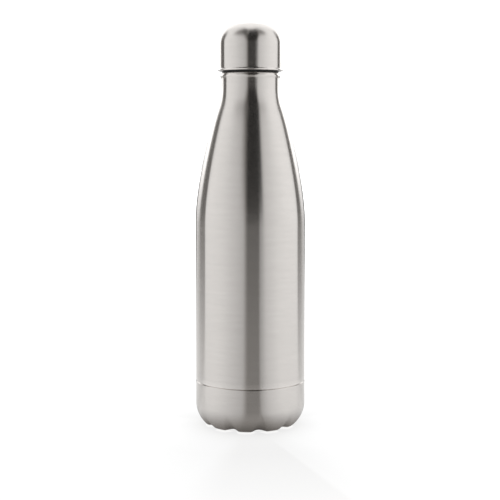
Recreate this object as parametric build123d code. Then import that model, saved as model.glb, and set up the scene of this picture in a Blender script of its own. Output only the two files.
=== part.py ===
"""Vacuum insulated steel water bottle with a screw-in stopper cap.

Units are millimetres. +Z is up along the bottle's axis, and the origin is on the
axis in the plane that the feet stand on. A foot of the base points along -Y.
"""

import os
from math import acos, asin, atan2, cos, degrees, hypot, radians, sin

from build123d import *

# ---------------------------------------------------------------- driving sizes
sheet = 0.4              # thickness of every pressed steel shell
body_radius = 35.0       # outside of the straight wall
neck_radius = 18.6       # outside of the neck, under the lip
base_height = 28.5       # foot plane to the seam
wall_length = 100.8      # seam to the start of the shoulder
shoulder_length = 86.7   # start of the shoulder to the straight neck
neck_length = 9.0        # straight neck, lip included
body_gap = 3.0           # vacuum space round the straight wall
neck_gap = 2.2           # vacuum space round the mouth
foam_gap = 0.2           # foam to the plastic around it

# base cup
spigot_length = 3.5      # lap of the base cup inside the wall
seam_bevel = 0.25        # bevel on each edge at the seam
corner_radius = 18.0     # large radius between wall and feet
corner_sweep = 48.6      # degrees of that radius before the foot's own
foot_radius = 3.0        # radius on both sides of a foot
foot_flat = 1.5          # width of the flat that touches the ground
recess_slope = 60.0      # degrees, the flank inside the feet
recess_radius = 2.0      # radius where that flank meets the recess
recess_height = 4.0      # ground to the underside of the recess
lobe_count = 10
groove_radius = 7.0      # tube radius of the tool that presses a groove
groove_floor = 13.7      # radius of the groove's floor, seen from the side
groove_lift = 0.03       # how far the floor starts outside the wall

# evacuation port and its cover
port_radius = 4.0
port_depth = 1.6
port_hole = 0.8
bead_radius = 3.1
bead_height = 1.0
cover_radius = 17.5
cover_lip = 0.6          # height of the cover's turned rim

# liner
liner_lift = 5.5         # base recess to the underside of the liner
liner_corner = 10.0
liner_seam = 12.0        # underside of the liner to its seam
liner_neck_length = 20.0  # straight bore, mouth to the liner's own shoulder
liner_drop = 3.0         # liner shoulder starts this far below the outer one
foil_thickness = 0.15
foil_gap = 0.1
foil_margin = 2.0        # bare liner above and below the foil
getter_radius = 4.3
getter_height = 1.9
clip_sheet = 0.3
clip_rim = 1.2

# mouth
lip_out = 0.5            # how far the ridge stands out past the neck
lip_slope_height = 2.5   # top of the lip down to the ridge
lip_under = 1.4          # ridge down to the plain neck
lip_flat = 1.3           # flat of the lip beside the liner
lip_knee = (0.6, 0.9)    # how far the slope's bend lies inside the ridge and below the top
lip_knee_normal = (0.8, 0.6)  # outward and up, at the bend
ridge_wall = 0.52        # sheet seen level through the ridge
mouth_bevel = 0.2

# screw thread, one start, right hand
lead = 5.0
thread_turns = 2.2
liner_thread_depth = 1.2
liner_thread_root = 2.2
liner_thread_crest = 0.8
plug_thread_depth = 1.6
plug_thread_root = 2.4
plug_thread_crest = 1.0
thread_top = 7.0         # lip to the top of the liner's thread centreline
thread_play = 0.12       # between the flanks that pull the stopper down
thread_embed = 0.2       # how deep a thread's root is set into its wall
crest_margin = 0.1       # trimming cone past the thread's crest
cut_margin = 1.0         # how far a cutter runs past what it cuts

# stopper, gasket and cap
barrel_clearance = 0.5   # smooth barrel to the bore
core_clearance = 0.8     # plug core to the crest of the liner's thread
barrel_length = 5.4      # from the lip down
plug_length = 22.0       # from the lip down to the plug's end
plug_wall = 1.5
floor_thickness = 1.4
floor_spigot = 1.4
weld_clearance = 0.05
vent_width = 2.4
gasket_height = 0.8
gasket_reach = 1.9       # gasket's rim past the liner
gasket_clearance = 0.1
gasket_round = 0.35
seat_gap = 0.05          # gasket to the flange above it
flange_height = 2.0
insert_wall = 1.4
insert_height = 16.0     # flange to the top of the insert
insert_clearance = 0.1   # insert to the steel cap
rib_count = 6
rib_thickness = 1.2
hub_radius = 3.0
cap_overhang = 1.6       # cap wall past the neck
cap_height = 30.0        # hem to crown
cap_corner = 12.0
cap_crown = 60.0
hem_drop = 0.2             # flange's underside down to the hem
hem_radius = 0.6
hem_inset = 0.15         # hem's centre, in from the wall's outside

# ---------------------------------------------------------------- derived sizes
seam_z = base_height
shoulder_z = seam_z + wall_length
neck_z = shoulder_z + shoulder_length
lip_z = neck_z + neck_length
foot_centre = body_radius - corner_radius + (corner_radius - foot_radius) * cos(radians(corner_sweep))
corner_z = foot_radius + (corner_radius - foot_radius) * sin(radians(corner_sweep))
liner_outside = body_radius - sheet - body_gap
liner_inside = liner_outside - sheet
mouth_outside = neck_radius - sheet - neck_gap
mouth_radius = mouth_outside - sheet
liner_z = recess_height + sheet + liner_lift
liner_seam_z = liner_z + liner_seam
liner_shoulder_z = shoulder_z - liner_drop
liner_neck_z = lip_z - liner_neck_length
liner_crest = mouth_radius - liner_thread_depth
core_radius = liner_crest - core_clearance
barrel_radius = mouth_radius - barrel_clearance
plug_end_z = lip_z - plug_length
plug_bore = core_radius - plug_wall
gasket_z = lip_z
flange_z = gasket_z + gasket_height + seat_gap
cap_radius = neck_radius + cap_overhang
cap_inside = cap_radius - sheet
insert_outside = cap_inside - insert_clearance
insert_z = flange_z + insert_height
hem_centre_r = cap_radius - hem_inset
hem_centre_z = flange_z + hem_radius - hem_drop
cap_top = hem_centre_z - hem_radius + cap_height
thread_low = lip_z - thread_top - lead * thread_turns

# Shape of the shoulder: share of its length against share of the way in to the neck.
shoulder_shape = ((0.227, 0.090), (0.450, 0.297), (0.671, 0.572), (0.820, 0.800), (0.894, 0.930))


# ---------------------------------------------------------------- helpers
def turned(*edges):
    """Solid of revolution about Z, from a closed outline of (radius, height) edges."""
    return revolve(Plane.XZ * make_face(Curve() + list(edges)), Axis.Z)


def disc(radius, low, high, bore=0.0):
    """Plain cylinder or ring between two heights."""
    ring = Circle(radius) - Circle(bore) if bore else Circle(radius)
    return Pos(0, 0, low) * extrude(ring, high - low)


def shoulder(wide, narrow, low, high):
    """The shoulder's curve from the wide radius up to the narrow one."""
    points = [(wide, low)]
    points += [(wide + (narrow - wide) * s, low + (high - low) * t) for t, s in shoulder_shape]
    points += [(narrow, high)]
    return Spline(*points, tangents=[(0, 1), (0, 1)])


def polar(centre, radius, degrees):
    """Point at an angle round a centre, in the outline's plane."""
    return (centre[0] + radius * cos(radians(degrees)), centre[1] + radius * sin(radians(degrees)))


def bend(centre, radius, start, end):
    """Arc round a centre between two angles, in degrees."""
    middle = (start + end) / 2
    return ThreePointArc(
        polar(centre, radius, start), polar(centre, radius, middle), polar(centre, radius, end)
    )


def chain(*pieces):
    """Joins (radius, height) points and ready edges into one closed outline."""
    edges = []
    here = first = None
    for piece in pieces:
        ends = (piece, piece) if isinstance(piece, tuple) else (tuple(piece @ 0), tuple(piece @ 1))
        start, end = ends[0][:2], ends[1][:2]
        if here is not None and hypot(start[0] - here[0], start[1] - here[1]) > 1e-6:
            edges.append(Line(here, start))
        if not isinstance(piece, tuple):
            edges.append(piece)
        first = first or start
        here = end
    edges.append(Line(here, first))
    return edges


def thread(root, crest, root_width, crest_width, low):
    """Helical ridge of trapezoid section from a root radius to a crest radius."""
    path = Helix(pitch=lead, height=lead * thread_turns, radius=root, center=(0, 0, low))
    start = Plane(origin=path @ 0, x_dir=(1, 0, 0), z_dir=path % 0)
    reach = crest - root
    section = start * make_face(
        Polyline(
            (0, -root_width / 2), (reach, -crest_width / 2), (reach, crest_width / 2),
            (0, root_width / 2), close=True,
        )
    )
    return sweep(section, path=path, is_frenet=True)


# ---------------------------------------------------------------- steel body
def make_outer_shell():
    """Wall, shoulder, neck and curled lip, open at the seam."""
    ridge = (neck_radius + lip_out, lip_z - lip_slope_height)
    neck_top = ridge[1] - lip_under
    lip_edge = mouth_outside + lip_flat
    knee = (ridge[0] - lip_knee[0], lip_z - lip_knee[1])
    outside = [
        (body_radius - seam_bevel, seam_z),
        (body_radius, seam_z + seam_bevel),
        shoulder(body_radius, neck_radius, shoulder_z, neck_z),
        (neck_radius, neck_top),
        ridge,
        knee,
        (lip_edge, lip_z),
        (mouth_outside, lip_z),
    ]
    inside = [
        (mouth_outside, lip_z - sheet),
        (lip_edge - sheet / 2, lip_z - sheet),
        (knee[0] - sheet * lip_knee_normal[0], knee[1] - sheet * lip_knee_normal[1]),
        (ridge[0] - ridge_wall, ridge[1]),
        (neck_radius - sheet, neck_top),
        (neck_radius - sheet, neck_z),
    ]
    inner_shoulder = shoulder(body_radius - sheet, neck_radius - sheet, shoulder_z, neck_z)
    inside += [inner_shoulder.reversed(), (body_radius - sheet, seam_z)]
    return turned(*chain(*outside, *inside))


def base_outline(inset, top):
    """Half section of the base, in from its outer surface by inset, up to a height."""
    slope = radians(recess_slope)
    flat_inner = foot_centre - foot_flat
    flank = (recess_height - (foot_radius + recess_radius) * (1 - cos(slope))) / sin(slope)
    recess_r = flat_inner - (foot_radius + recess_radius) * sin(slope) - flank * cos(slope)
    return chain(
        (0, top),
        (body_radius - inset, top),
        bend((body_radius - corner_radius, corner_z), corner_radius - inset, 0, -corner_sweep),
        bend((foot_centre, foot_radius), foot_radius - inset, -corner_sweep, -90),
        bend((flat_inner, foot_radius), foot_radius - inset, -90, -90 - recess_slope),
        bend((recess_r, recess_height - recess_radius), recess_radius + inset, 90 - recess_slope, 90),
        (0, recess_height + inset),
    )


def groove_tools(grow):
    """Quarter rings that press the grooves between the feet, grown by a wall."""
    start = body_radius + groove_lift
    section = Pos(start + groove_radius, 0, corner_z) * Circle(groove_radius + grow)
    ring = revolve(section, Axis((start - groove_floor, 0, corner_z), (0, 1, 0)), revolution_arc=90)
    step = 360 / lobe_count
    return [Rot(0, 0, -90 + step * (k + 0.5)) * ring for k in range(lobe_count)]


def make_base_cup():
    """Base with pressed feet, a spigot that laps inside the wall, and the evacuation port."""
    outer = turned(*base_outline(0, seam_z))
    inner = turned(*base_outline(sheet, seam_z))
    for tool in groove_tools(0):
        outer -= tool
    for tool in groove_tools(sheet):
        inner -= tool
    cup = outer - inner
    bevel = turned(*chain(
        (body_radius - seam_bevel, seam_z), (body_radius + seam_bevel, seam_z),
        (body_radius + seam_bevel, seam_z - 2 * seam_bevel),
    ))
    spigot_outside = body_radius - sheet
    spigot = disc(spigot_outside, seam_z - 1, seam_z + spigot_length, spigot_outside - sheet)
    ledge = disc(body_radius - sheet, seam_z - 1, seam_z, spigot_outside - sheet)
    port = disc(port_radius + sheet, recess_height, recess_height + port_depth + sheet)
    port -= disc(port_radius, recess_height, recess_height + port_depth)
    cup -= disc(port_radius, recess_height, recess_height + port_depth)
    port_top = recess_height + port_depth + sheet
    return (cup - bevel) + spigot + ledge + port - disc(port_hole, recess_height, port_top)


def make_seal_bead():
    """Glass solder that closes the evacuation hole after pumping."""
    roof = recess_height + port_depth
    return disc(bead_radius, roof - bead_height, roof) + disc(port_hole, roof, roof + sheet)


def make_base_cover():
    """Shallow dished disc glued under the recess, over the port."""
    plate = disc(cover_radius, recess_height - sheet, recess_height)
    rim = disc(cover_radius, recess_height - cover_lip, recess_height, cover_radius - sheet)
    return plate + rim


def make_liner():
    """Inner wall from the mouth to its seam, with the rolled thread."""
    outside = [
        (liner_outside, liner_seam_z),
        shoulder(liner_outside, mouth_outside, liner_shoulder_z, liner_neck_z),
        (mouth_outside, lip_z),
        (mouth_radius + mouth_bevel, lip_z),
        (mouth_radius, lip_z - mouth_bevel),
    ]
    back = shoulder(liner_inside, mouth_radius, liner_shoulder_z, liner_neck_z)
    tube = turned(*chain(*outside, back.reversed(), (liner_inside, liner_seam_z)))
    ridge = thread(
        mouth_radius + thread_embed, liner_crest, liner_thread_root, liner_thread_crest, thread_low
    )
    return tube + ridge


def make_liner_bottom():
    """Dished cup that closes the liner."""
    def section(inset):
        centre = (liner_outside - liner_corner, liner_z + liner_corner)
        return chain((0, liner_seam_z), (liner_outside - inset, liner_seam_z),
                     bend(centre, liner_corner - inset, 0, -90), (0, liner_z + inset))
    return turned(*section(0)) - turned(*section(sheet))


def make_foil():
    """Reflective copper foil wrapped round the liner's straight wall."""
    inner = liner_outside + foil_gap
    low, high = liner_seam_z + foil_margin, liner_shoulder_z - foil_margin
    return disc(inner + foil_thickness, low, high, inner)


def make_getter_clip():
    """Stamped cup that holds the getter under the liner."""
    plate = disc(getter_radius + clip_sheet + clip_rim, liner_z - clip_sheet, liner_z)
    skirt_low = liner_z - clip_sheet - getter_height - clip_sheet
    return plate + disc(getter_radius + clip_sheet, skirt_low, liner_z - clip_sheet, getter_radius)


def make_getter():
    """Pellet that soaks up stray gas in the vacuum."""
    return disc(getter_radius, liner_z - clip_sheet - getter_height, liner_z - clip_sheet)


# ---------------------------------------------------------------- stopper and cap
def make_stopper():
    """Moulded insert: cup pressed into the cap, flange, barrel and threaded hollow plug."""
    body = disc(core_radius, plug_end_z, lip_z - barrel_length)
    body += disc(barrel_radius, lip_z - barrel_length, flange_z)
    body += disc(insert_outside, flange_z, flange_z + flange_height)
    body += disc(insert_outside, flange_z, insert_z, insert_outside - insert_wall)
    body += disc(hub_radius, flange_z + flange_height, insert_z)
    rib_length = insert_outside - insert_wall / 2
    rib_z = flange_z + flange_height
    for k in range(rib_count):
        bar = Box(rib_length, rib_thickness, insert_z - rib_z, align=(Align.MIN, Align.CENTER, Align.MIN))
        body += Rot(0, 0, k * 360 / rib_count) * Pos(0, 0, rib_z) * bar
    body -= disc(plug_bore, plug_end_z, flange_z)
    return body + make_plug_thread()


def make_plug_thread():
    """Plug thread, faded at both ends and cut by two vents that let pressure out."""
    middle = core_radius + plug_thread_depth / 2
    width = plug_thread_root - (plug_thread_root - plug_thread_crest) / 2
    liner_width = liner_thread_crest + (
        (middle - liner_crest) / liner_thread_depth * (liner_thread_root - liner_thread_crest)
    )
    low = thread_low - (width + liner_width) / 2 - thread_play
    crest = core_radius + plug_thread_depth
    ridge = thread(core_radius - thread_embed, crest, plug_thread_root, plug_thread_crest, low)
    fade_low = max(low - plug_thread_root / 2, plug_end_z)
    fade_high = min(low + lead * thread_turns + plug_thread_root / 2, lip_z - barrel_length)
    limit = turned(*chain(
        (core_radius - thread_embed - cut_margin, fade_low), (core_radius, fade_low),
        (crest + crest_margin, fade_low + plug_thread_depth),
        (crest + crest_margin, fade_high - plug_thread_depth),
        (core_radius, fade_high), (core_radius - thread_embed - cut_margin, fade_high),
    ))
    ridge &= limit
    slot = Box(2 * (crest + cut_margin), vent_width, lead * (thread_turns + 2))
    slot = Pos(0, 0, (fade_low + fade_high) / 2) * slot - disc(core_radius, plug_end_z - plug_length, lip_z)
    return ridge - slot


def make_stopper_floor():
    """Disc welded into the plug's open end."""
    flange = disc(core_radius, plug_end_z - floor_thickness, plug_end_z)
    return flange + disc(plug_bore - weld_clearance, plug_end_z, plug_end_z + floor_spigot)


def make_stopper_foam():
    """Insulating foam in the hollow plug."""
    low = plug_end_z + floor_spigot + foam_gap
    return disc(plug_bore - foam_gap, low, flange_z - foam_gap)


def make_gasket():
    """Silicone ring between the flange and the lip."""
    inner = barrel_radius + gasket_clearance
    outer = mouth_outside + gasket_reach
    ring = disc(outer, gasket_z, gasket_z + gasket_height, inner)
    return fillet(ring.edges().filter_by(GeomType.CIRCLE).group_by(SortBy.RADIUS)[-1], gasket_round)


def make_cap_shell():
    """Drawn steel dome with a rolled hem."""
    corner_r = cap_radius - cap_corner
    rise = (cap_crown - cap_corner) ** 2 - corner_r**2
    crown_z = cap_top - cap_crown
    corner_centre = (corner_r, crown_z + rise**0.5)
    meet = degrees(atan2(corner_centre[1] - crown_z, corner_r))
    hem = (hem_centre_r, hem_centre_z)
    hem_out = degrees(acos((cap_radius - hem[0]) / hem_radius))
    hem_in = -90 - degrees(asin((hem[0] - cap_inside) / hem_radius))
    return turned(*chain(
        bend(hem, hem_radius, hem_in, hem_out),
        bend(corner_centre, cap_corner, 0, meet),
        bend((0, crown_z), cap_crown, meet, 90),
        bend((0, crown_z), cap_crown - sheet, 90, meet),
        bend(corner_centre, cap_corner - sheet, meet, 0),
    ))


makers = {
    "outer_shell": make_outer_shell,
    "base_cup": make_base_cup,
    "base_cover": make_base_cover,
    "vacuum_seal_bead": make_seal_bead,
    "inner_liner": make_liner,
    "liner_bottom": make_liner_bottom,
    "reflective_foil": make_foil,
    "getter_clip": make_getter_clip,
    "getter_pellet": make_getter,
    "stopper": make_stopper,
    "stopper_floor": make_stopper_floor,
    "stopper_foam": make_stopper_foam,
    "gasket": make_gasket,
    "cap_shell": make_cap_shell,
}

os.makedirs("parts", exist_ok=True)
for name, make in makers.items():
    export_step(make(), f"parts/{name}.step")
print("height", round(cap_top, 2), "lip", round(lip_z, 2), "foot circle", round(foot_centre, 2))
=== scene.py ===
# %% [markdown]
# # A brushed steel vacuum bottle
#
# A half-litre vacuum bottle is almost all turned shapes: wall, shoulder, neck, liner, cap and gasket were
# spun or drawn round one axis. The measured model gives every size and place. This notebook lays a finer
# skin over each piece that shows, gives every piece its finish, and builds the studio that steel needs,
# because bare steel looks like nothing but what it reflects.

# %% Load the measured model
import math

import bpy
import numpy as np
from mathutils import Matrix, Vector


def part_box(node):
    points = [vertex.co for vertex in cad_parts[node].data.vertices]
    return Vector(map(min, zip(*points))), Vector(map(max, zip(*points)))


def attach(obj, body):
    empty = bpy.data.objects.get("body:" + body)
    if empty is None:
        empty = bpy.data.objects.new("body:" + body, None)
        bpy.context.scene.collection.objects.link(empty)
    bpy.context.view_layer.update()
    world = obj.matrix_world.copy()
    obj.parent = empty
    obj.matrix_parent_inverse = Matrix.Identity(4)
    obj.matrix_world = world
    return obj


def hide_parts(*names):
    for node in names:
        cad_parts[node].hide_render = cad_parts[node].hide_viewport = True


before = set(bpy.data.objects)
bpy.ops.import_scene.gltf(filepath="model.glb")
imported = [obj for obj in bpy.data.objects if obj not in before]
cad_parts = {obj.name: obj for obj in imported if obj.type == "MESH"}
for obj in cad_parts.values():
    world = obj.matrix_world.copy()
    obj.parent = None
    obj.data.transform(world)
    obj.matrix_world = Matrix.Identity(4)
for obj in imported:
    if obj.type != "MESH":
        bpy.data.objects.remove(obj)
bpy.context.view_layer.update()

# %% [markdown]
# ## Sizes
#
# Shapes below are written in millimetres, as a machinist would, and turned into metres in one place. The
# sizes that must agree with the measured model are read from its boxes, so nothing is fitted by eye.

# %% Sizes read from the model
MM = 0.001


def reach(node):
    """(largest radius, lowest height, highest height) of a turned piece, in millimetres."""
    low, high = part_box(node)
    return high[0] / MM, low[2] / MM, high[2] / MM


wall_r, seam_z, lip_z = reach("outer_shell")
hem_r, hem_low, crown_z = reach("cap_shell")
gasket_r, gasket_low, gasket_high = reach("gasket")
liner_r, liner_seam_z, mouth_z = reach("inner_liner")
stopper_r, plug_end_z, insert_z = reach("stopper")
floor_r, floor_low, floor_high = reach("stopper_floor")
cover_r, cover_low, cover_high = reach("base_cover")
sheet = 0.4  # pressed steel
print(f"wall radius {wall_r:.2f}, seam {seam_z:.2f}, lip {lip_z:.2f}, crown {crown_z:.2f} mm")

# %% [markdown]
# ## From a profile to a skin
#
# A turned piece could be made with a Screw or Spin modifier, but then the wear along its edges and the
# length along its profile would have to be guessed again in the material. Here the whole surface is one
# array of points, `rows` along the profile and `columns` round the axis, so the same arrays also give the
# UV map and an `edge` attribute that says how sharply the profile turns.

# %% Curves for profiles
def arc(centre, radius, start, end, count=14):
    """Points on a circle: centre + radius * (cos a, sin a), for angles a from start to end in degrees."""
    a = np.radians(np.linspace(start, end, count))
    return np.stack([centre[0] + radius * np.cos(a), centre[1] + radius * np.sin(a)], axis=1)


def line(start, end, count=2):
    """Evenly spaced points on a straight line: start + t * (end - start)."""
    t = np.linspace(0, 1, count)[:, None]
    return np.asarray(start) + t * (np.asarray(end) - np.asarray(start))


def join(*pieces):
    """One profile from several runs of (radius, height) points, without doubled points."""
    points = np.concatenate([np.atleast_2d(np.asarray(p, float)) for p in pieces])
    step = np.linalg.norm(np.diff(points, axis=0), axis=1)
    return points[np.concatenate([[True], step > 1e-4])]


def rounded(points, radius, count=5):
    """Corners cut by a curve: each inner point P becomes (1-t)^2 A + 2t(1-t) P + t^2 B, where A and B lie
    on its two sides, a radius away or half the side if that is shorter."""
    points = np.asarray(points, float)
    t = np.linspace(0, 1, count)[:, None]
    out = [points[:1]]
    for before, corner, after in zip(points[:-2], points[1:-1], points[2:]):
        sides = [before - corner, after - corner]
        a, b = (corner + s * min(radius / np.linalg.norm(s), 0.5) for s in sides)
        out.append((1 - t) ** 2 * a + 2 * t * (1 - t) * corner + t**2 * b)
    return join(*out, points[-1:])


print("a rounded corner has", len(rounded([(0, 0), (1, 0), (1, 1)], 0.3)), "points")

# %% Lengths and edges along a profile
def along(profile):
    """Distance from the profile's start to each of its points."""
    return np.concatenate([[0], np.cumsum(np.linalg.norm(np.diff(profile, axis=0), axis=1))])


def sharpness(profile, spread=0.5):
    """How sharply the outside turns near each point: the left turn at each point as a share of 90 degrees,
    carried to its neighbours as exp(-(distance / spread)^2)."""
    step = np.diff(profile, axis=0)
    heading = np.unwrap(np.arctan2(step[:, 1], step[:, 0]))
    turn = np.clip(np.concatenate([[0], np.diff(heading), [0]]), 0, None) / (np.pi / 2)
    s = along(profile)
    return np.clip((turn * np.exp(-(((s[:, None] - s) / spread) ** 2))).sum(axis=1), 0, 1)


square_corner = np.array([(0, 0), (1, 0), (1, 1)])
print("the corner of a square is", round(float(sharpness(square_corner).max()), 2), "sharp")


# %% A grid of points becomes a mesh
def skin(name, grid, loop, edge, v):
    """Mesh through a (rows, columns, 3) array in millimetres. Columns run round and meet. loop joins the
    last row to the first, and a row that lies on the axis becomes one point with a fan of triangles. edge
    is the sharpness at each point, and v is each row's place along the profile, for the UV map."""
    columns = grid.shape[1]
    pole = np.hypot(grid[..., 0], grid[..., 1]).max(axis=1) < 1e-6
    first = np.concatenate([[0], np.cumsum(np.where(pole, 1, columns))])[:-1]
    index = first[:, None] + np.where(pole[:, None], 0, np.arange(columns))
    low, high = (index, np.roll(index, -1, axis=0)) if loop else (index[:-1], index[1:])
    quads = np.stack([low, np.roll(low, -1, 1), np.roll(high, -1, 1), high], axis=-1)
    u0 = np.broadcast_to(np.arange(columns) / columns, low.shape)
    v_low, v_high = (v, np.append(v[1:], 2 * v[-1] - v[-2])) if loop else (v[:-1], v[1:])
    v_low, v_high = (np.broadcast_to(w[:, None], low.shape) for w in (v_low, v_high))
    uv = np.stack([np.stack([u0, u0 + 1 / columns, u0 + 1 / columns, u0], -1),
                   np.stack([v_low, v_low, v_high, v_high], -1)], axis=-1)
    bottom, top = pole[: len(low)], np.zeros(len(low), bool) if loop else pole[1:]
    plain = ~(bottom | top)
    faces = quads[plain].reshape(-1, 4).tolist()
    faces += quads[bottom][..., [0, 2, 3]].reshape(-1, 3).tolist()
    faces += quads[top][..., [0, 1, 2]].reshape(-1, 3).tolist()
    corners = [uv[plain].reshape(-1, 2), uv[bottom][..., [0, 2, 3], :].reshape(-1, 2),
               uv[top][..., [0, 1, 2], :].reshape(-1, 2)]
    mesh = bpy.data.meshes.new(name)
    points = np.concatenate([row[:1] if p else row for row, p in zip(grid, pole)])
    mesh.from_pydata((points * MM).tolist(), [], faces)
    mesh.uv_layers.new(name="turned").data.foreach_set("uv", np.concatenate(corners).ravel())
    mesh.polygons.foreach_set("use_smooth", np.ones(len(faces), bool))
    wear = np.concatenate([row[:1] if p else row for row, p in zip(edge, pole)])
    mesh.attributes.new("edge", "FLOAT", "POINT").data.foreach_set("value", wear.astype(np.float32))
    mesh.set_sharp_from_angle(angle=math.radians(40))
    piece = bpy.data.objects.new(name, mesh)
    bpy.context.scene.collection.objects.link(piece)
    print(f"{name}: {len(points)} points, {len(faces)} faces")
    return piece


# %% Turned pieces
def around(profile, columns):
    """Turned surface: (r cos a, r sin a, z) for each profile point (r, z) and each angle a."""
    a = np.linspace(0, 2 * np.pi, columns, endpoint=False)
    r, z = profile[:, :1], profile[:, 1:]
    return np.stack([r * np.cos(a), r * np.sin(a), z + 0 * a], axis=-1)


def lathe(name, profile, columns=192, loop=True):
    """A turned piece. Its profile runs up the outside and back down the inside, so faces point outwards."""
    edge = np.repeat(sharpness(profile)[:, None], columns, axis=1)
    return skin(name, around(profile, columns), loop, edge, along(profile) * MM)


print("a turned grid of 2 points and 8 columns has shape", around(np.array([(1, 0), (1, 1)]), 8).shape)

# %% [markdown]
# ## Wall, shoulder, neck and lip
#
# The outer wall is one pressed tube. Its shoulder was necked in slowly, so its outline has no arc that a
# compass would give. A cubic curve through a few chosen points, upright at both ends, is how a spinner's
# template is drawn, and it keeps the curvature smooth, which matters because steel shows every kink.

# %% The shoulder's curve
shoulder_z, neck_z = 129.3, 216.0  # where the shoulder starts and ends
shoulder_shape = [(0, 0), (0.227, 0.090), (0.450, 0.297), (0.671, 0.572),
                  (0.820, 0.800), (0.894, 0.930), (1, 1)]  # (share of its height, share of its narrowing)


def cubic(knots, values, x):
    """Cubic curve through the knots, level at both ends. The slopes m solve the usual rows
    h1 m0 + 2 (h0 + h1) m1 + h0 m2 = 3 (h1 d0 + h0 d1), where h is a step and d its rise over run."""
    h, d = np.diff(knots), np.diff(values) / np.diff(knots)
    rows = np.eye(len(knots))
    inner = np.arange(1, len(knots) - 1)
    rows[inner, inner - 1] = h[1:]
    rows[inner, inner] = 2 * (h[:-1] + h[1:])
    rows[inner, inner + 1] = h[:-1]
    right = np.zeros(len(knots))
    right[inner] = 3 * (h[1:] * d[:-1] + h[:-1] * d[1:])
    m = np.linalg.solve(rows, right)
    i = np.clip(np.searchsorted(knots, x) - 1, 0, len(h) - 1)
    t = (x - knots[i]) / h[i]
    rise = (3 - 2 * t) * t**2 * (values[i + 1] - values[i])
    return values[i] + rise + h[i] * t * (1 - t) * ((1 - t) * m[i] - t * m[i + 1])


def shoulder(wide, narrow, low, high, count=90):
    """Shoulder outline from a wide radius up to a narrow one: r = wide + (narrow - wide) * share(height)."""
    knots, shares = np.array(shoulder_shape).T
    t = np.linspace(0, 1, count)
    return np.stack([wide + (narrow - wide) * cubic(knots, shares, t), low + (high - low) * t], axis=1)


print("share of the narrowing done at half the height:", round(float(shoulder(0, 1, 0, 1, 3)[1, 0]), 3))


# %% The outer wall
neck_r, mouth_out_r = 18.6, 16.0
lip_r = 17.3  # outer edge of the lip's flat top
knee_r, knee_z = 18.5, lip_z - 0.9  # bend in the slope under the lip's top
ridge_r, ridge_z = 19.1, lip_z - 2.5  # widest part of the lip
neck_top_z = lip_z - 3.9  # the lip meets the plain neck
ridge_wall = 0.52  # sheet seen level through the ridge
seam_bevel, seam_round = 0.35, 0.12
seam_run = 4  # plain wall kept beside the seam's bevel

lip_outside = rounded([(neck_r, neck_top_z - 2), (neck_r, neck_top_z), (ridge_r, ridge_z), (knee_r, knee_z),
                       (lip_r, lip_z), (mouth_out_r, lip_z), (mouth_out_r, lip_z - sheet)], 0.3)
lip_inside = rounded([(mouth_out_r, lip_z - sheet), (lip_r - sheet / 2, lip_z - sheet),
                      (knee_r - 0.8 * sheet, knee_z - 0.25), (ridge_r - ridge_wall, ridge_z),
                      (neck_r - sheet, neck_top_z)], 0.2)
wall_profile = join(
    rounded([(wall_r - sheet, seam_z), (wall_r - seam_bevel, seam_z), (wall_r, seam_z + seam_bevel),
             (wall_r, seam_z + seam_run)], seam_round),
    line((wall_r, seam_z + seam_run), (wall_r, shoulder_z), 40),
    shoulder(wall_r, neck_r, shoulder_z, neck_z),
    lip_outside, lip_inside,
    shoulder(wall_r - sheet, neck_r - sheet, shoulder_z, neck_z, 40)[::-1])
wall = lathe("steel_wall", wall_profile, 256)

# %% [markdown]
# ## The scalloped base
#
# The base cup was pressed into feet, with grooves between them. A groove could be cut with a boolean, but
# its rims would be knife edges. Instead every point of the turned base is pushed towards the press tool's
# centre by the depth of the nearest groove, and a soft maximum rounds the rims as the sheet really bends.

# %% The base's outline before pressing
lobes = 10
corner_r, corner_sweep = 18.0, math.radians(48.6)  # large radius between wall and feet
foot_r, foot_flat = 3.0, 1.5  # radius on both sides of a foot, and the flat between them
recess_z, recess_bend, recess_slope = 4.0, 2.0, math.radians(60)
to_foot = corner_r - foot_r
corner_c = np.array([wall_r - corner_r, foot_r + to_foot * math.sin(corner_sweep)])
foot_c = np.array([corner_c[0] + to_foot * math.cos(corner_sweep), foot_r])
inner_c = foot_c - (foot_flat, 0)
base_columns = 360


def base_outline():
    """Recess, foot and corner as arcs, from the axis outwards and up to the seam."""
    bends = foot_r + recess_bend
    flank = (recess_z - bends * (1 - math.cos(recess_slope))) / math.sin(recess_slope)
    bend_x = inner_c[0] - bends * math.sin(recess_slope) - flank * math.cos(recess_slope)
    slope, sweep = math.degrees(recess_slope), math.degrees(corner_sweep)
    return join(line((0, recess_z), (bend_x - 0.5, recess_z), 12),
                arc((bend_x, recess_z - recess_bend), recess_bend, 90, 90 - slope, 8),
                arc(inner_c, foot_r, 270 - slope, 270, 14),
                arc(foot_c, foot_r, 270, 360 - sweep, 10),
                arc(corner_c, corner_r, -sweep, 0, 44),
                line(corner_c + (corner_r, 0.3), (wall_r, seam_z - 1), 12))


print(f"the feet stand on a circle of {foot_c[0] - foot_flat / 2:.2f} mm radius")


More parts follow.
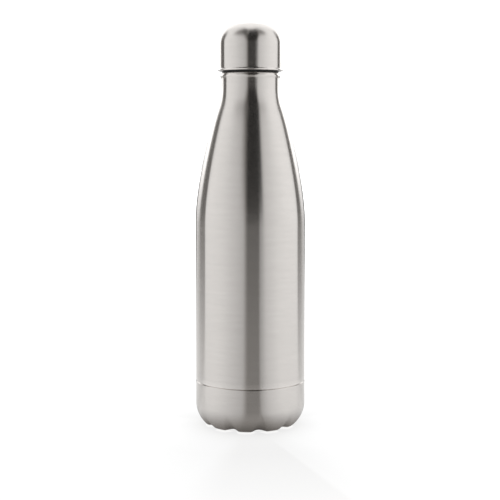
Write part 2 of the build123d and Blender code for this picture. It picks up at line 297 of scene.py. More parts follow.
# %% Pressing the grooves
def press(profile, columns, tool_r=7.0, floor_r=13.5, run_in=0.15, rim=0.45):
    """Turned base with pressed grooves. The floor of a groove is a circle of floor_r about a centre C, so
    a groove is s = |P - C| - floor_r deep at the point P, eased to s^2 / (s + run_in) where it begins. Its
    cross-section is a circle of tool_r: at distance x round from the groove's middle, P goes towards C by
    d = s - (tool_r - sqrt(tool_r^2 - x^2)), softly held above nothing as (d + sqrt(d^2 + (rim s)^2)) / 2."""
    a = np.linspace(0, 2 * np.pi, columns, endpoint=False)
    centre = np.array([wall_r - floor_r, corner_c[1]])
    to_centre = centre - profile
    distance = np.linalg.norm(to_centre, axis=1)
    just_clear = -0.02
    start = np.where(profile[:, 1] < centre[1], distance - floor_r, just_clear)
    start = np.where(start > 0, start**2 / (np.abs(start) + run_in), start)
    pitch = 2 * np.pi / lobes
    from_groove = (a + np.pi / 2) % pitch - pitch / 2
    x = np.clip(np.abs(profile[:, :1] * from_groove), 0, tool_r)
    depth = start[:, None] - (tool_r - np.sqrt(tool_r**2 - x**2))
    soft = rim * np.clip(start, 0, 1)[:, None]
    depth = (depth + np.sqrt(depth**2 + soft**2)) / 2
    moved = profile[:, None] + depth[..., None] * (to_centre / distance[:, None])[:, None]
    return np.stack([moved[..., 0] * np.cos(a), moved[..., 0] * np.sin(a), moved[..., 1]], axis=-1)


def inwards(grid, thickness):
    """Second skin inside the first: each point less thickness times the unit normal, which is the cross
    product of the steps round and along the surface."""
    round_step = np.roll(grid, -1, 1) - np.roll(grid, 1, 1)
    normal = np.cross(round_step, np.gradient(grid, axis=0))
    normal[0] = (0, 0, -1)
    normal /= np.linalg.norm(normal, axis=-1, keepdims=True)
    return grid - thickness * normal


# %% The base cup
outer = press(base_outline(), base_columns)
seam_profile = rounded([(wall_r, seam_z - 1), (wall_r, seam_z - seam_bevel), (wall_r - seam_bevel, seam_z),
                        (wall_r - sheet, seam_z)], seam_round)
seam_rim = around(seam_profile, base_columns)
base_grid = np.concatenate([outer, seam_rim[1:], inwards(outer, sheet)[::-1]])
rub_height = 0.6  # the feet are rubbed bright up to here
contact = np.clip(1 - base_grid[..., 2] / rub_height, 0, 1)
contact[len(outer):] = 0
base = skin("steel_base", base_grid, False, contact, along(base_grid[:, 0]) * MM)

# %% [markdown]
# ## Cap, gasket and base cover
#
# The cap was drawn from flat sheet into a cup with a slightly crowned top, and its hem was rolled outwards.
# Each of these is again a profile: straight runs joined by arcs that meet without a kink.

# %% The steel cap
cap_r, cap_corner, crown_r, hem_tube = hem_r - 0.45, 12.0, 60.0, 0.6
corner_x, crown_c = cap_r - cap_corner, crown_z - crown_r
corner_z = crown_c + math.sqrt((crown_r - cap_corner) ** 2 - corner_x**2)
meet = math.degrees(math.atan2(corner_z - crown_c, corner_x))  # where corner and crown share a tangent
hem_c = (hem_r - hem_tube, hem_low + hem_tube)
hem_end, hem_top, cap_straight = 20, hem_c[1] + 0.8, hem_c[1] + 3
cap_profile = join(
    arc(hem_c, hem_tube, -150, hem_end, 16),
    rounded([arc(hem_c, hem_tube, hem_end, 40, 2)[1], (cap_r, hem_top), (cap_r, cap_straight)], 0.5),
    line((cap_r, cap_straight), (cap_r, corner_z), 20),
    arc((corner_x, corner_z), cap_corner, 0, meet, 36),
    arc((0, crown_c), crown_r, meet, 90, 24),
    arc((0, crown_c), crown_r - sheet, 90, meet, 12),
    arc((corner_x, corner_z), cap_corner - sheet, meet, 0, 12),
    line((cap_r - sheet, corner_z), (cap_r - sheet, hem_c[1]), 8))
cap_profile[np.abs(cap_profile[:, 0]) < 1e-6, 0] = 0
cap = lathe("steel_cap", cap_profile, 224, loop=False)

# %% The gasket and the base cover
gasket_in_r, gasket_round, gasket_dip = 15.2, 0.35, 0.12
dip_z = (gasket_low + gasket_high) / 2  # a shallow moulded line round the middle
gasket_start = (gasket_in_r + 1, gasket_low)
gasket_profile = rounded(
    [gasket_start, (gasket_r, gasket_low), (gasket_r, dip_z - gasket_dip), (gasket_r - gasket_dip, dip_z),
     (gasket_r, dip_z + gasket_dip), (gasket_r, gasket_high), (gasket_in_r, gasket_high),
     (gasket_in_r, gasket_low), gasket_start], gasket_round)
gasket = lathe("gasket_ring", gasket_profile[:-1])

cover_under, cover_in = cover_high - sheet, cover_r - sheet
flat_r, dish_r, step_r = 3.0, cover_r - 4.5, cover_r - 3.8  # dished slightly outwards, up to a pressed step
cover_profile = rounded(
    [(0, cover_under), (flat_r, cover_under), (dish_r, cover_under - 0.15), (step_r, cover_under + 0.02),
     (cover_in, cover_under), (cover_in, cover_low), (cover_r, cover_low), (cover_r, cover_high),
     (0, cover_high)], 0.2)
cover = lathe("steel_base_cover", cover_profile, 128, loop=False)

# %% [markdown]
# ## Screw threads
#
# A thread is a ridge that climbs one lead in one turn. It could be a swept outline joined on with a
# boolean, but a ridge is also only a change of radius over a tube, so the same turned skin can carry it:
# at angle a and height z the nearest turn of the ridge is known, and so is the distance to its middle.

# %% A tube that carries a thread
lead, turns = 5.0, 2.2
thread_drop = 7.0  # mouth to the top of the liner's thread
thread_low = lip_z - thread_drop - lead * turns


def ridge(a, z, low, root, crest, fade=0.07):
    """Height of the ridge from 0 to 1. n is the nearest whole turn of (z - low) / lead - a / 2pi, and
    s = n + a / 2pi says how many turns up the thread the point is. The height is the trapezoid
    (root/2 - |z - low - lead s|) / (root/2 - crest/2), eased, and it runs out over fade at both ends."""
    share = a / (2 * np.pi)
    s = np.round((z - low) / lead - share) + share
    height = np.clip((root / 2 - np.abs(z - low - lead * s)) / (root / 2 - crest / 2), 0, 1)
    ends = np.clip(np.minimum(s, turns - s) / fade + 0.5, 0, 1)
    return height * ends * ends * (3 - 2 * ends)


def threaded(profile, columns, depth, low, root, crest, carries, slot=0.0, slot_flank=0.4):
    """Turned surface whose radius grows by depth * ridge on the rows that carry the thread, and that ridge.
    slot is the width of two vents, on the +X and -X sides, that the ridge leaves free."""
    a = np.linspace(0, 2 * np.pi, columns, endpoint=False)
    height = ridge(a, profile[:, 1:], low, root, crest) * carries[:, None]
    if slot:
        off_axis = np.abs(profile[:, :1] * np.sin(a))
        height *= np.clip((off_axis - slot / 2) / slot_flank, 0, 1)
    grow = 1 + depth * height / np.maximum(profile[:, :1], 1e-6)
    return around(profile, columns) * np.stack([grow, grow, np.ones_like(grow)], axis=-1), height


print(f"the liner's thread climbs from {thread_low:.1f} to {thread_low + lead * turns:.1f} mm")


# %% The liner
liner_neck_z, liner_shoulder_z, mouth_in_r = lip_z - 20.0, shoulder_z - 3.0, mouth_out_r - sheet
mouth_bevel = 0.25
liner_depth, liner_root, liner_crest = 1.2, 2.2, 0.8
outside = join(line((liner_r, liner_seam_z), (liner_r, liner_shoulder_z), 12),
               shoulder(liner_r, mouth_out_r, liner_shoulder_z, liner_neck_z, 40),
               [(mouth_out_r, mouth_z)])
inside = join([(mouth_in_r + mouth_bevel, mouth_z)],
              line((mouth_in_r, mouth_z - mouth_bevel), (mouth_in_r, liner_neck_z), 170),
              shoulder(liner_r - sheet, mouth_in_r, liner_shoulder_z, liner_neck_z, 60)[::-1],
              line((liner_r - sheet, liner_shoulder_z), (liner_r - sheet, liner_seam_z), 16))
liner_profile = join(outside, inside)
in_bore = (np.arange(len(liner_profile)) > len(outside)) & (liner_profile[:, 1] > liner_neck_z)
liner_grid, liner_ridge = threaded(
    liner_profile, 180, -liner_depth, thread_low, liner_root, liner_crest, in_bore)
liner = skin("steel_liner", liner_grid, True, 0.4 * liner_ridge, along(liner_profile) * MM)

# %% The stopper
core_r, barrel_r, barrel_z = 13.6, 15.1, lip_z - 5.4
flange_z = gasket_high + 0.05  # seat on the gasket
flange_top = flange_z + 2
plug_bore, insert_wall, hub_r = core_r - 1.5, 1.4, 3.0
plug_columns, bore_rows = 216, 2
core_low, core_high, taper_z = plug_end_z + 1.0, barrel_z - 0.8, barrel_z - 0.6
plug_depth, plug_root, plug_crest, vent_width = 1.6, 2.4, 1.0, 2.4
plug_profile = join(
    rounded([(plug_bore, plug_end_z), (core_r, plug_end_z), (core_r, core_low)], 0.3),
    line((core_r, core_low), (core_r, core_high), 150),
    rounded([(core_r, core_high), (core_r, taper_z), (barrel_r, barrel_z), (barrel_r, flange_z),
             (stopper_r, flange_z), (stopper_r, insert_z), (stopper_r - insert_wall, insert_z),
             (stopper_r - insert_wall, flange_top), (hub_r, flange_top), (hub_r, insert_z),
             (0, insert_z)], 0.3))
plug_bore_grid = around(np.array([(0, flange_z), (plug_bore, flange_z)]), plug_columns)

# The stopper's thread hangs below the liner's by half the width of each and the play between them. Its own
# width is taken half way up its flanks, and the liner's where the stopper's crest reaches.
plug_width, liner_width, thread_play = 1.7, 1.733, 0.12
plug_thread_low = thread_low - (plug_width + liner_width) / 2 - thread_play
on_core = (plug_profile[:, 1] > plug_end_z + 0.2) & (plug_profile[:, 1] < barrel_z - 0.2)
plug_grid, plug_ridge = threaded(
    plug_profile, plug_columns, plug_depth, plug_thread_low, plug_root, plug_crest, on_core, vent_width)
bore_v, plug_v = [0, 0.01], 0.012  # places along the profile, in metres, for the two rows of the bore
stopper = skin("moulded_stopper", np.concatenate([plug_bore_grid, plug_grid]), False,
               np.concatenate([np.zeros((bore_rows, plug_columns)), 0.5 * plug_ridge]),
               np.concatenate([bore_v, plug_v + along(plug_profile) * MM]))

# %% The floor of the stopper
gate_r, gate_edge, gate_z = 2.0, 2.4, floor_low + 0.3  # shallow dimple where the moulding gate was
groove_in, groove_mid, groove_out = floor_r - 2.6, floor_r - 2.3, floor_r - 1.9
weld_z, weld_r = floor_low + 1.4, plug_bore - 0.05  # spigot inside the plug's bore
floor_profile = rounded(
    [(0, gate_z), (gate_r, gate_z), (gate_edge, floor_low), (groove_in, floor_low),
     (groove_mid, floor_low + 0.25), (groove_out, floor_low), (floor_r, floor_low),
     (floor_r, weld_z), (weld_r, weld_z), (weld_r, floor_high), (0, floor_high)], 0.25)
plug_floor = lathe("moulded_stopper_floor", floor_profile, 128, loop=False)

# %% [markdown]
# ## What rides on what
#
# Each skin moves with the body of the measured piece that it stands for. The gasket rises with the cap but
# doesn't turn, and the stopper, its floor and the steel cap turn as one.

# %% Bodies, replaced pieces and finish slots
skins = [
    (wall, "bottle", "outer_shell", "body_steel"),
    (base, "bottle", "base_cup", "body_steel"),
    (cover, "bottle", "base_cover", "cover_steel"),
    (liner, "bottle", "inner_liner", "liner_steel"),
    (gasket, "seal", "gasket", "black_silicone"),
    (cap, "cap", "cap_shell", "cap_steel"),
    (stopper, "cap", "stopper", "stopper_plastic"),
    (plug_floor, "cap", "stopper_floor", "stopper_plastic"),
]
for piece, body, node, slot in skins:
    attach(piece, body)
    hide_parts(node)
print(len(skins), "skins ride on", sorted({body for _, body, _, _ in skins}))

# %% [markdown]
# ## Shared effects as node groups
#
# Brushing, handling marks and bright worn edges show on several finishes, so each is one group with its
# own inputs. A group gives back only values and normals. The shader itself stays in each material.

# %% Helpers for node trees
def group(name, inputs, outputs):
    """Node group with float inputs {name: default} and typed outputs {name: kind}."""
    tree = bpy.data.node_groups.new(name, "ShaderNodeTree")
    for label, default in inputs.items():
        socket = tree.interface.new_socket(label, in_out="INPUT", socket_type="NodeSocketFloat")
        socket.default_value = default
    for label, kind in outputs.items():
        tree.interface.new_socket(label, in_out="OUTPUT", socket_type=f"NodeSocket{kind}")
    return tree, tree.nodes.new("NodeGroupInput"), tree.nodes.new("NodeGroupOutput")


def add(tree, kind, settings=None, **links):
    """Adds a node. Settings are its own properties. Links give a socket, or a plain value, for each input
    by its name, or by its number as i0, i1 and so on where several inputs share a name."""
    node = tree.nodes.new("ShaderNode" + kind)
    for key, value in (settings or {}).items():
        setattr(node, key, value)
    for key, value in links.items():
        numbered = key[0] == "i" and key[1:].isdigit()
        socket = node.inputs[int(key[1:]) if numbered else key.replace("_", " ")]
        if isinstance(value, bpy.types.NodeSocket):
            tree.links.new(value, socket)
        else:
            socket.default_value = value
    return node


def maths(tree, operation, *values, clamp=False):
    """Output of one Math node."""
    links = {f"i{n}": value for n, value in enumerate(values)}
    return add(tree, "Math", {"operation": operation, "use_clamp": clamp}, **links).outputs[0]


def scaled(tree, vector, factor):
    """Output of a Vector Math node that multiplies a vector or colour by a number."""
    return add(tree, "VectorMath", {"operation": "SCALE"}, i0=vector, Scale=factor).outputs[0]


def remap(tree, value, low, high, to_low, to_high):
    """Output of a Map Range node from one range to another, held at its ends."""
    ends = {"From_Min": low, "From_Max": high, "To_Min": to_low, "To_Max": to_high}
    return add(tree, "MapRange", Value=value, **ends).outputs[0]


print("node helpers ready, with", len(bpy.data.node_groups), "groups so far")


# %% Group: brushing round the axis
def make_brushing():
    """Fine lines that run round the axis. The noise is read at (direction from the axis * Run, distance
    along the profile * Lines), so it changes fast along the profile and slowly round it."""
    tree, entry, out = group("turned_brushing", {"Lines": 4000, "Run": 5, "Relief": 0.2},
                             {"Lines": "Float", "Bands": "Float", "Normal": "Vector"})
    place = add(tree, "TexCoord").outputs["Object"]
    flat = add(tree, "VectorMath", {"operation": "MULTIPLY"}, i0=place, i1=(1, 1, 0)).outputs[0]
    outwards = add(tree, "VectorMath", {"operation": "NORMALIZE"}, i0=flat).outputs[0]
    facing = add(tree, "SeparateXYZ", Vector=outwards)
    turned = add(tree, "UVMap", {"uv_map": "turned"}).outputs[0]
    length = add(tree, "SeparateXYZ", Vector=turned).outputs["Y"]

    def streaks(lines, run, detail):
        """Noise stretched round the axis."""
        x, y = (maths(tree, "MULTIPLY", facing.outputs[k], run) for k in "XY")
        spot = add(tree, "CombineXYZ", X=x, Y=y, Z=maths(tree, "MULTIPLY", length, lines)).outputs[0]
        return add(tree, "TexNoise", Vector=spot, Scale=1.0, Detail=detail, Roughness=0.6).outputs[0]

    fine = streaks(entry.outputs["Lines"], entry.outputs["Run"], 3.0)
    wide = streaks(maths(tree, "MULTIPLY", entry.outputs["Lines"], 0.08), 1.2, 2.0)
    bump = add(tree, "Bump", Height=fine, Strength=entry.outputs["Relief"], Distance=0.00002)
    tree.links.new(fine, out.inputs["Lines"])
    tree.links.new(wide, out.inputs["Bands"])
    tree.links.new(bump.outputs[0], out.inputs["Normal"])
    return tree


brushing = make_brushing()
print("group", brushing.name, "has", len(brushing.nodes), "nodes")


# %% Groups: handling marks and worn edges
def make_handling():
    """Soft cloudy marks where hands and cloths have been: large noise, pushed through a smooth threshold,
    with a finer noise that breaks it up."""
    tree, entry, out = group("handling_marks", {"Scale": 40, "Cover": 0.5}, {"Mask": "Float"})
    place = add(tree, "TexCoord").outputs["Object"]
    cloud = add(tree, "TexNoise", Vector=place, Scale=entry.outputs["Scale"], Detail=4.0, Roughness=0.55,
                Distortion=0.6).outputs[0]
    fine_scale = maths(tree, "MULTIPLY", entry.outputs["Scale"], 9)
    fine = add(tree, "TexNoise", Vector=place, Scale=fine_scale, Detail=2.0).outputs[0]
    level = maths(tree, "SUBTRACT", 1.0, entry.outputs["Cover"])
    soft = remap(tree, cloud, level, maths(tree, "ADD", level, 0.22), 0.0, 1.0)
    broken = maths(tree, "MULTIPLY", soft, remap(tree, fine, 0.3, 0.7, 0.6, 1.0))
    tree.links.new(broken, out.inputs["Mask"])
    return tree


def make_wear():
    """Bright rubbed edges: the piece's own edge attribute, broken up by noise."""
    tree, entry, out = group("worn_edges", {"Amount": 1.0, "Scale": 900}, {"Mask": "Float"})
    edge = add(tree, "Attribute", {"attribute_name": "edge"}).outputs["Fac"]
    place = add(tree, "TexCoord").outputs["Object"]
    noise = add(tree, "TexNoise", Vector=place, Scale=entry.outputs["Scale"], Detail=3.0).outputs[0]
    broken = maths(tree, "MULTIPLY", edge, remap(tree, noise, 0.35, 0.65, 0.45, 1.0))
    rubbed = maths(tree, "MULTIPLY", broken, entry.outputs["Amount"], clamp=True)
    tree.links.new(rubbed, out.inputs["Mask"])
    return tree


handling, wear = make_handling(), make_wear()
print("groups", handling.name, "and", wear.name, "each give a mask")


# %% [markdown]
# ## Finishes
#
# Brushed steel is a mirror with fine grooves. Along a groove it stays sharp, and across it the reflection
# smears, so a bright or dark card in the studio becomes an upright band on the bottle. That is what the
# shader's anisotropy does, and the brushing group adds the grooves that show when one looks closely.

# %% Brushed steel
def use(tree, shared, **values):
    """Places a shared group in a material with its own values."""
    node = tree.nodes.new("ShaderNodeGroup")
    node.node_tree = shared
    for key, value in values.items():
        node.inputs[key].default_value = value
    return node.outputs


def material(name):
    """New material, its tree, and the inputs of its Principled shader."""
    new = bpy.data.materials.new(name)
    new.use_nodes = True
    return new, new.node_tree, new.node_tree.nodes["Principled BSDF"].inputs


steel_tint = (0.678, 0.65, 0.625)
upright_smear = 0.25  # a quarter turn from the direction round the axis, so highlights stretch up and down


def brushed_steel(name, rough=0.215, smear=1.0, lines=4000.0, relief=0.3):
    """Bare steel, brushed round its axis: colour = tint * (1 + lines + bands + a quarter of the wear), and
    roughness = rough + lines + handling marks - a tenth of the wear."""
    new, tree, shader = material(name)
    brush = use(tree, brushing, Lines=lines, Relief=relief)
    marks = use(tree, handling, Scale=38.0, Cover=0.42)["Mask"]
    rubbed = use(tree, wear, Amount=0.8, Scale=900.0)["Mask"]
    shade = maths(tree, "ADD", remap(tree, brush["Lines"], 0.25, 0.75, -0.035, 0.035),
                  remap(tree, brush["Bands"], 0.3, 0.7, -0.015, 0.015))
    bright = maths(tree, "ADD", maths(tree, "ADD", 1.0, shade), maths(tree, "MULTIPLY", rubbed, 0.25))
    grain = maths(tree, "ADD", remap(tree, brush["Lines"], 0.25, 0.75, rough - 0.03, rough + 0.03),
                  maths(tree, "MULTIPLY", marks, 0.02))
    tree.links.new(scaled(tree, steel_tint, bright), shader["Base Color"])
    tree.links.new(maths(tree, "SUBTRACT", grain, maths(tree, "MULTIPLY", rubbed, 0.1)), shader["Roughness"])
    tree.links.new(brush["Normal"], shader["Normal"])
    shader["Metallic"].default_value = 1.0
    shader["Anisotropic"].default_value = smear
    shader["Anisotropic Rotation"].default_value = upright_smear
    return new


body_steel = brushed_steel("brushed_body_steel")
cap_steel = brushed_steel("brushed_cap_steel", rough=0.21)
cover_steel = brushed_steel("brushed_cover_steel", rough=0.34, smear=0.8, lines=3000.0)
liner_steel = brushed_steel("polished_liner_steel", rough=0.24, smear=0.4, lines=2000.0, relief=0.12)
print("steels:", [steel.name for steel in (body_steel, cap_steel, cover_steel, liner_steel)])

# %% [markdown]
# ## Plastic, silicone and the hidden pieces
#
# The pieces that the steel hides get finishes too: a satin mould texture on the plastic, duller silicone,
# crinkled copper foil, and so on. They show when the bottle is opened or taken apart. All are one kind of
# surface, fine bumps with a mottled colour, so one function with a few numbers makes every one of them.

# %% Plastic, silicone, foam, foil, glass and getter
def grained(name, colour, rough, grain_scale, grain_depth, metal=0.0, mottle=0.08):
    """A finish with fine bumps, a slightly mottled colour and handling marks."""
    new, tree, shader = material(name)
    place = add(tree, "TexCoord").outputs["Object"]
    grain = add(tree, "TexNoise", Vector=place, Scale=grain_scale, Detail=4.0, Roughness=0.6).outputs[0]
    marks = use(tree, handling, Scale=60.0, Cover=0.5)["Mask"]
    rubbed = use(tree, wear, Amount=0.6, Scale=1200.0)["Mask"]
    shade = maths(tree, "ADD", remap(tree, grain, 0.3, 0.7, 1 - mottle, 1 + mottle),
                  maths(tree, "MULTIPLY", rubbed, 0.5))
    dull = maths(tree, "ADD", remap(tree, grain, 0.3, 0.7, rough - 0.04, rough + 0.04),
                 maths(tree, "MULTIPLY", marks, 0.05))
    tree.links.new(scaled(tree, colour, shade), shader["Base Color"])
    tree.links.new(dull, shader["Roughness"])
    bump = add(tree, "Bump", Height=grain, Strength=0.5, Distance=grain_depth)
    tree.links.new(bump.outputs[0], shader["Normal"])
    shader["Metallic"].default_value = metal
    return new


plastic = grained("satin_black_plastic", (0.022, 0.022, 0.023), 0.42, 2500.0, 0.00003)
silicone = grained("black_silicone", (0.012, 0.012, 0.013), 0.5, 1500.0, 0.00002)
foam = grained("closed_cell_foam", (0.80, 0.78, 0.72), 0.85, 900.0, 0.0003, mottle=0.15)
foil = grained("crinkled_copper_foil", (0.93, 0.52, 0.36), 0.22, 260.0, 0.0006, metal=1.0, mottle=0.12)
glass = grained("dark_solder_glass", (0.04, 0.05, 0.06), 0.12, 700.0, 0.00005)
clip_steel = grained("stamped_clip_steel", (0.62, 0.62, 0.61), 0.28, 1800.0, 0.00002, metal=1.0)
getter = grained("sintered_getter", (0.16, 0.16, 0.17), 0.7, 3000.0, 0.0001, metal=0.6, mottle=0.3)
bottom_steel = grained("drawn_liner_steel", (0.60, 0.60, 0.59), 0.26, 400.0, 0.00003, metal=1.0, mottle=0.04)

finishes = {wall: body_steel, base: body_steel, cover: cover_steel, liner: liner_steel, cap: cap_steel,
            gasket: silicone, stopper: plastic, plug_floor: plastic}
for piece, finish in finishes.items():
    piece.data.materials.append(finish)
hidden = {"liner_bottom": bottom_steel, "reflective_foil": foil, "getter_clip": clip_steel,
          "getter_pellet": getter, "vacuum_seal_bead": glass, "stopper_foam": foam}
for node, finish in hidden.items():
    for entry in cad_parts[node].material_slots:
        entry.material = finish
print(len(finishes) + len(hidden), "pieces have a finish")

# %% [markdown]
# ## Studio
#
# Brushed steel is lit by what stands round it, and a plain white room would leave the bottle flat. Softboxes
# and black flags could be set up one by one, as in a real studio. Here they are three glowing cards, a ring
# round the bottle, one just over the floor and one overhead, and one function of direction says how bright
# each point of them is. Only reflections see the cards, so the room itself stays plain and pale.

# %% Camera
view_turn = math.radians(6.5)  # the bottle is seen from a little to its right
camera_data = bpy.data.cameras.new("camera")
camera_data.lens, camera_data.sensor_width = 83.09, 36.0
camera_data.shift_x, camera_data.shift_y = -0.0006, -0.03
camera_data.clip_start, camera_data.clip_end = 0.05, 20.0
camera = bpy.data.objects.new("camera", camera_data)
distance, height, tilt = 0.736, 0.183, math.radians(4.76)
camera.location = (distance * math.sin(view_turn), -distance * math.cos(view_turn), height)
camera.rotation_euler = (math.pi / 2 - tilt, 0, view_turn)
bpy.context.scene.collection.objects.link(camera)
bpy.context.scene.camera = camera
bpy.context.scene.view_settings.view_transform = "Standard"
print(f"camera {distance} m from the axis, {height} m up, looking down {math.degrees(tilt):.2f} degrees")


# %% Floor and room
def glow(name, attribute):
    """Light-giving material, whose colour and strength are read from a colour attribute."""
    new = bpy.data.materials.new(name)
    new.use_nodes = True
    tree = new.node_tree
    tree.nodes.remove(tree.nodes["Principled BSDF"])
    painted = add(tree, "Attribute", {"attribute_name": attribute}).outputs["Color"]
    light = add(tree, "Emission", Color=painted, Strength=1.0).outputs[0]
    tree.links.new(light, tree.nodes["Material Output"].inputs["Surface"])
    return new


def stage_piece(name, mesh, finish, reflections_only=False):
    """A piece of the studio, which isn't part of the bottle."""
    piece = bpy.data.objects.new(name, mesh)
    mesh.materials.append(finish)
    bpy.context.scene.collection.objects.link(piece)
    if reflections_only:
        piece.visible_camera = piece.visible_diffuse = piece.visible_shadow = False
    return piece


# The floor glows a little less near the bottle, which leaves room for a faint mirror image under it.
floor_finish, floor_tree, floor_shader = material("pale_floor")
floor_shader["Base Color"].default_value = (0.05, 0.05, 0.05, 1)
floor_shader["Roughness"].default_value = 0.08
floor_shader["Emission Color"].default_value = (1, 1, 1, 1)
floor_place = add(floor_tree, "TexCoord").outputs["Object"]
from_axis = add(floor_tree, "VectorMath", {"operation": "LENGTH"}, i0=floor_place).outputs["Value"]
mirror_r, plain_r, mirror_glow, plain_glow = 0.08, 0.35, 0.77, 1.03
floor_glow = remap(floor_tree, from_axis, mirror_r, plain_r, mirror_glow, plain_glow)
floor_tree.links.new(floor_glow, floor_shader["Emission Strength"])
floor_half = 6.0
floor_corners = [(x * floor_half, y * floor_half, 0) for x, y in ((-1, -1), (1, -1), (1, 1), (-1, 1))]
floor_mesh = bpy.data.meshes.new("floor")
floor_mesh.from_pydata(floor_corners, [], [(0, 1, 2, 3)])
stage_piece("floor", floor_mesh, floor_finish)

world = bpy.data.worlds.new("room")
world.use_nodes = True
background = world.node_tree.nodes["Background"].inputs
background["Color"].default_value = (1, 1, 1, 1)
background["Strength"].default_value = 1.15
bpy.context.scene.world = world
print(f"floor {2 * floor_half:.0f} m wide in a white room")


# %% Helpers for the light's pattern
def between(value, *pairs):
    """Value read off a table of (place, value) pairs, with straight lines between them."""
    return np.interp(value, *np.array(pairs, dtype=float).T)


def ease(value, low, high):
    """0 below low, 1 above high, with a smooth rise t^2 (3 - 2t) between them."""
    t = np.clip((value - low) / (high - low), 0, 1)
    return t * t * (3 - 2 * t)


def span(value, start, end):
    """1 between a start and an end, and 0 outside. Each is a (low, high) pair over which it fades."""
    return ease(value, *start) * (1 - ease(value, *end))


def mix(light, level, share):
    """Light moved towards a level by a share from 0 to 1."""
    return light + (level - light) * share


print("half way up an ease:", ease(0.5, 0, 1))


# %% What stands round the bottle
# Directions are in degrees. Azimuth is 0 towards the camera and 90 to its right. Elevation is 0 on the
# level, and is taken from a point on the axis 0.2 m up, where most of what the bottle mirrors is seen from.
def round_the_room(azimuth):
    """Brightness of the walls: dim beside the camera and full at the sides."""
    return between(azimuth, (-135, 1.0), (-100, 1.06), (-88, 1.03), (-55, 0.89), (-25, 0.68), (0, 0.5),
                   (21, 0.55), (34, 0.77), (55, 0.92), (80, 1.07), (104, 1.12), (135, 1.0))


def behind_the_bottle(elevation):
    """What the walls' brightness is multiplied by behind the bottle, where the lip and cap see it."""
    return between(elevation, (-40, 0.92), (-16, 0.8), (-9, 0.63), (-7, 0.62), (-4, 0.9), (0, 1.0),
                   (3, 1.2), (7, 2.1), (25, 1.6), (50, 1.4))


def with_flags(light, azimuth, elevation):
    """The light with two black flags left and right behind the bottle, which draw its dark outlines. Each
    is darkest near the level, and ends softly at its far edge and at its top."""
    away = np.abs(azimuth)
    level = between(elevation, (-43, 0.8), (-28, 0.74), (-20, 0.6), (-13, 0.42), (-9.5, 0.27),
                    (-7.5, 0.17), (-4, 0.1), (0, 0.14))
    fade = between(elevation, (-9.5, 26), (-4, 12), (0, 5))
    top = 1 - ease(elevation, 28, 42)
    for side, inner, outer in ((-1, 107.5, 129), (1, 115.5, 131.5)):
        flag = span(away, (inner - 2, inner + 2), (outer - 3, outer + fade))
        light = mix(light, level, flag * top * (azimuth * side > 0))
    return light


def camera_gap(azimuth, elevation):
    """Share of the dark gap round the camera, which is the dark band down the middle of the bottle. Its
    two edges and how softly they end are read off tables by elevation."""
    left = between(elevation, (-10, -10), (0, -10), (5, -9), (13, -14), (30, -18.5), (42, -22), (49, -32),
                   (60, -45))
    left_fade = between(elevation, (-10, 6), (5, 5), (13, 8), (30, 13), (42, 15), (49, 22))
    right = between(elevation, (-10, 18), (0, 19.5), (5, 29), (9, 25.5), (18, 25.5), (22, 28.5), (27, 29.5),
                    (31, 32), (38, 36.5), (42, 38.5), (49, 50), (60, 65))
    right_fade = between(elevation, (0, 1), (13, 2), (30, 4), (42, 8), (49, 16), (60, 20))
    return span(azimuth, (left - left_fade, left + left_fade), (right - right_fade, right + right_fade))


def room_light(azimuth, elevation, gap_level):
    """Brightness of the room in the directions (azimuth, elevation) from the bottle: the walls, with the
    flags, a thin dark strip far behind that edges the wall's outline, less light high up in front, where
    the crown of the cap looks, and the gap round the camera."""
    rim_dark, front_cut = 0.05, 0.88
    away = np.abs(azimuth)
    light = round_the_room(azimuth)
    light = light * mix(1.0, behind_the_bottle(elevation), ease(away, 128, 138))
    light = with_flags(light, azimuth, elevation)
    rim_line = span(elevation, (-15, -8), (-2, 3)) * span(away, (152, 156), (163, 167))
    light = mix(light, rim_dark, rim_line)
    high_front = ease(elevation, 36, 47) * (1 - ease(away, 60, 95))
    light = light * (1 - front_cut * high_front)
    return mix(light, gap_level, camera_gap(azimuth, elevation))


print("straight ahead, half right and right:", np.round(room_light(np.array([0, 45, 90]), 0.0, 0.01), 2))


# %% Glowing cards
dim_warmth, warm_below = 0.07, 0.6  # dim parts of the room are a little warmer
room_glow = glow("room_glow", "light")


def light_card(name, grid, tone):
    """A glowing surface through a (rows, columns, 3) grid in metres that closes round the axis, as bright
    at each point as tone says."""
    index = np.arange(grid[..., 0].size).reshape(grid.shape[:2])
    across = np.roll(index, -1, 1)
    faces = np.stack([index[:-1], across[:-1], across[1:], index[1:]], -1).reshape(-1, 4)
    mesh = bpy.data.meshes.new(name)
    mesh.from_pydata(grid.reshape(-1, 3).tolist(), [], faces.tolist())
    warmth = dim_warmth * np.clip(1 - tone / warm_below, 0, 1)
    colour = np.stack([tone * (1 + warmth), tone, tone * (1 - warmth), np.ones_like(tone)], -1)
    light = mesh.color_attributes.new("light", "FLOAT_COLOR", "POINT")
    light.data.foreach_set("color", colour.astype(np.float32).ravel())
    stage_piece(name, mesh, room_glow, reflections_only=True)
    print(f"{name}: {len(faces)} faces, from {tone.min():.2f} to {tone.max():.2f}")


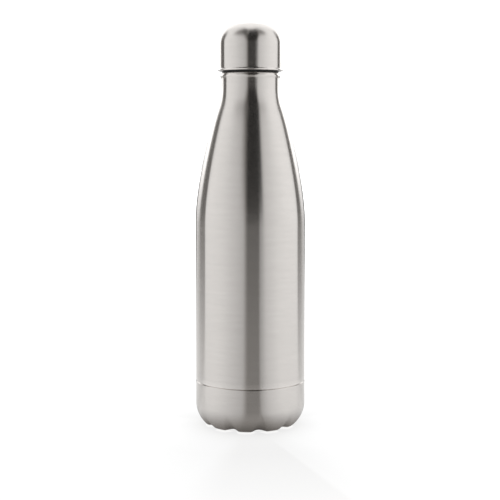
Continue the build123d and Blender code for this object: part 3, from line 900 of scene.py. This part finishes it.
def polar_grid(radius, azimuth, z):
    """Points at a distance from the axis, an azimuth and a height: (r sin a, -r cos a, z)."""
    turn = np.radians(azimuth) + view_turn
    return np.stack(np.broadcast_arrays(radius * np.sin(turn), -radius * np.cos(turn), z), axis=-1)


# %% The ring
ring_r, ring_top, seen_from, gap_dark = 1.2, 1.5, 0.2, 0.01
azimuth = np.linspace(-180, 180, 720, endpoint=False)
ring_z = np.linspace(0, ring_top, 40)[:, None]
ring_elevation = np.degrees(np.arctan((ring_z - seen_from) / ring_r))
ring_tone = room_light(azimuth, ring_elevation, gap_dark)
light_card("ring_light", polar_grid(ring_r, azimuth, ring_z), ring_tone)

# %% What the steel sees of the floor
card_lift = 0.0008
foot_shade_r, foot_shade, foot_fade = 0.028, 0.82, 0.015  # the bottle shades the floor round its own feet
card_most = 0.95
floor_x = np.geomspace(0.02, ring_r, 48)[:, None]
floor_elevation = np.degrees(np.arctan(-seen_from / floor_x))
gap_floor = between(floor_x, (0.03, 0.55), (0.06, 0.36), (0.15, 0.33), (0.3, 0.38), (0.6, 0.33))
floor_light = np.minimum(room_light(azimuth, floor_elevation, gap_floor), card_most)
shade = foot_shade * np.exp(-np.clip(floor_x - foot_shade_r, 0, None) / foot_fade)
light_card("floor_seen", polar_grid(floor_x, azimuth, card_lift), floor_light * (1 - shade))

# %% What the steel sees overhead
cap_seen_from = 0.25  # the cap sees most of the ceiling
ceiling_x = np.linspace(0.01, ring_r, 40)[:, None]
high = np.degrees(np.arctan((ring_top - cap_seen_from) / ceiling_x))
ceiling_light = room_light(azimuth, high, gap_dark)
bar_level, overhead_level = 0.25, 1.3  # two dim bars darken the crown's edge, and a lamp lights its middle
for bar, half_width in ((-13, 5), (49, 6)):
    from_bar = np.abs(azimuth - bar)
    ceiling_light = mix(ceiling_light, bar_level, 1 - ease(from_bar, half_width - 3, half_width + 3))
ceiling_light = mix(ceiling_light, overhead_level, ease(high, 77, 82))
light_card("ceiling_seen", polar_grid(ceiling_x, azimuth, ring_top), ceiling_light)

# %% [markdown]
# ## Finish

# %% The last line
bpy.context.view_layer.update()
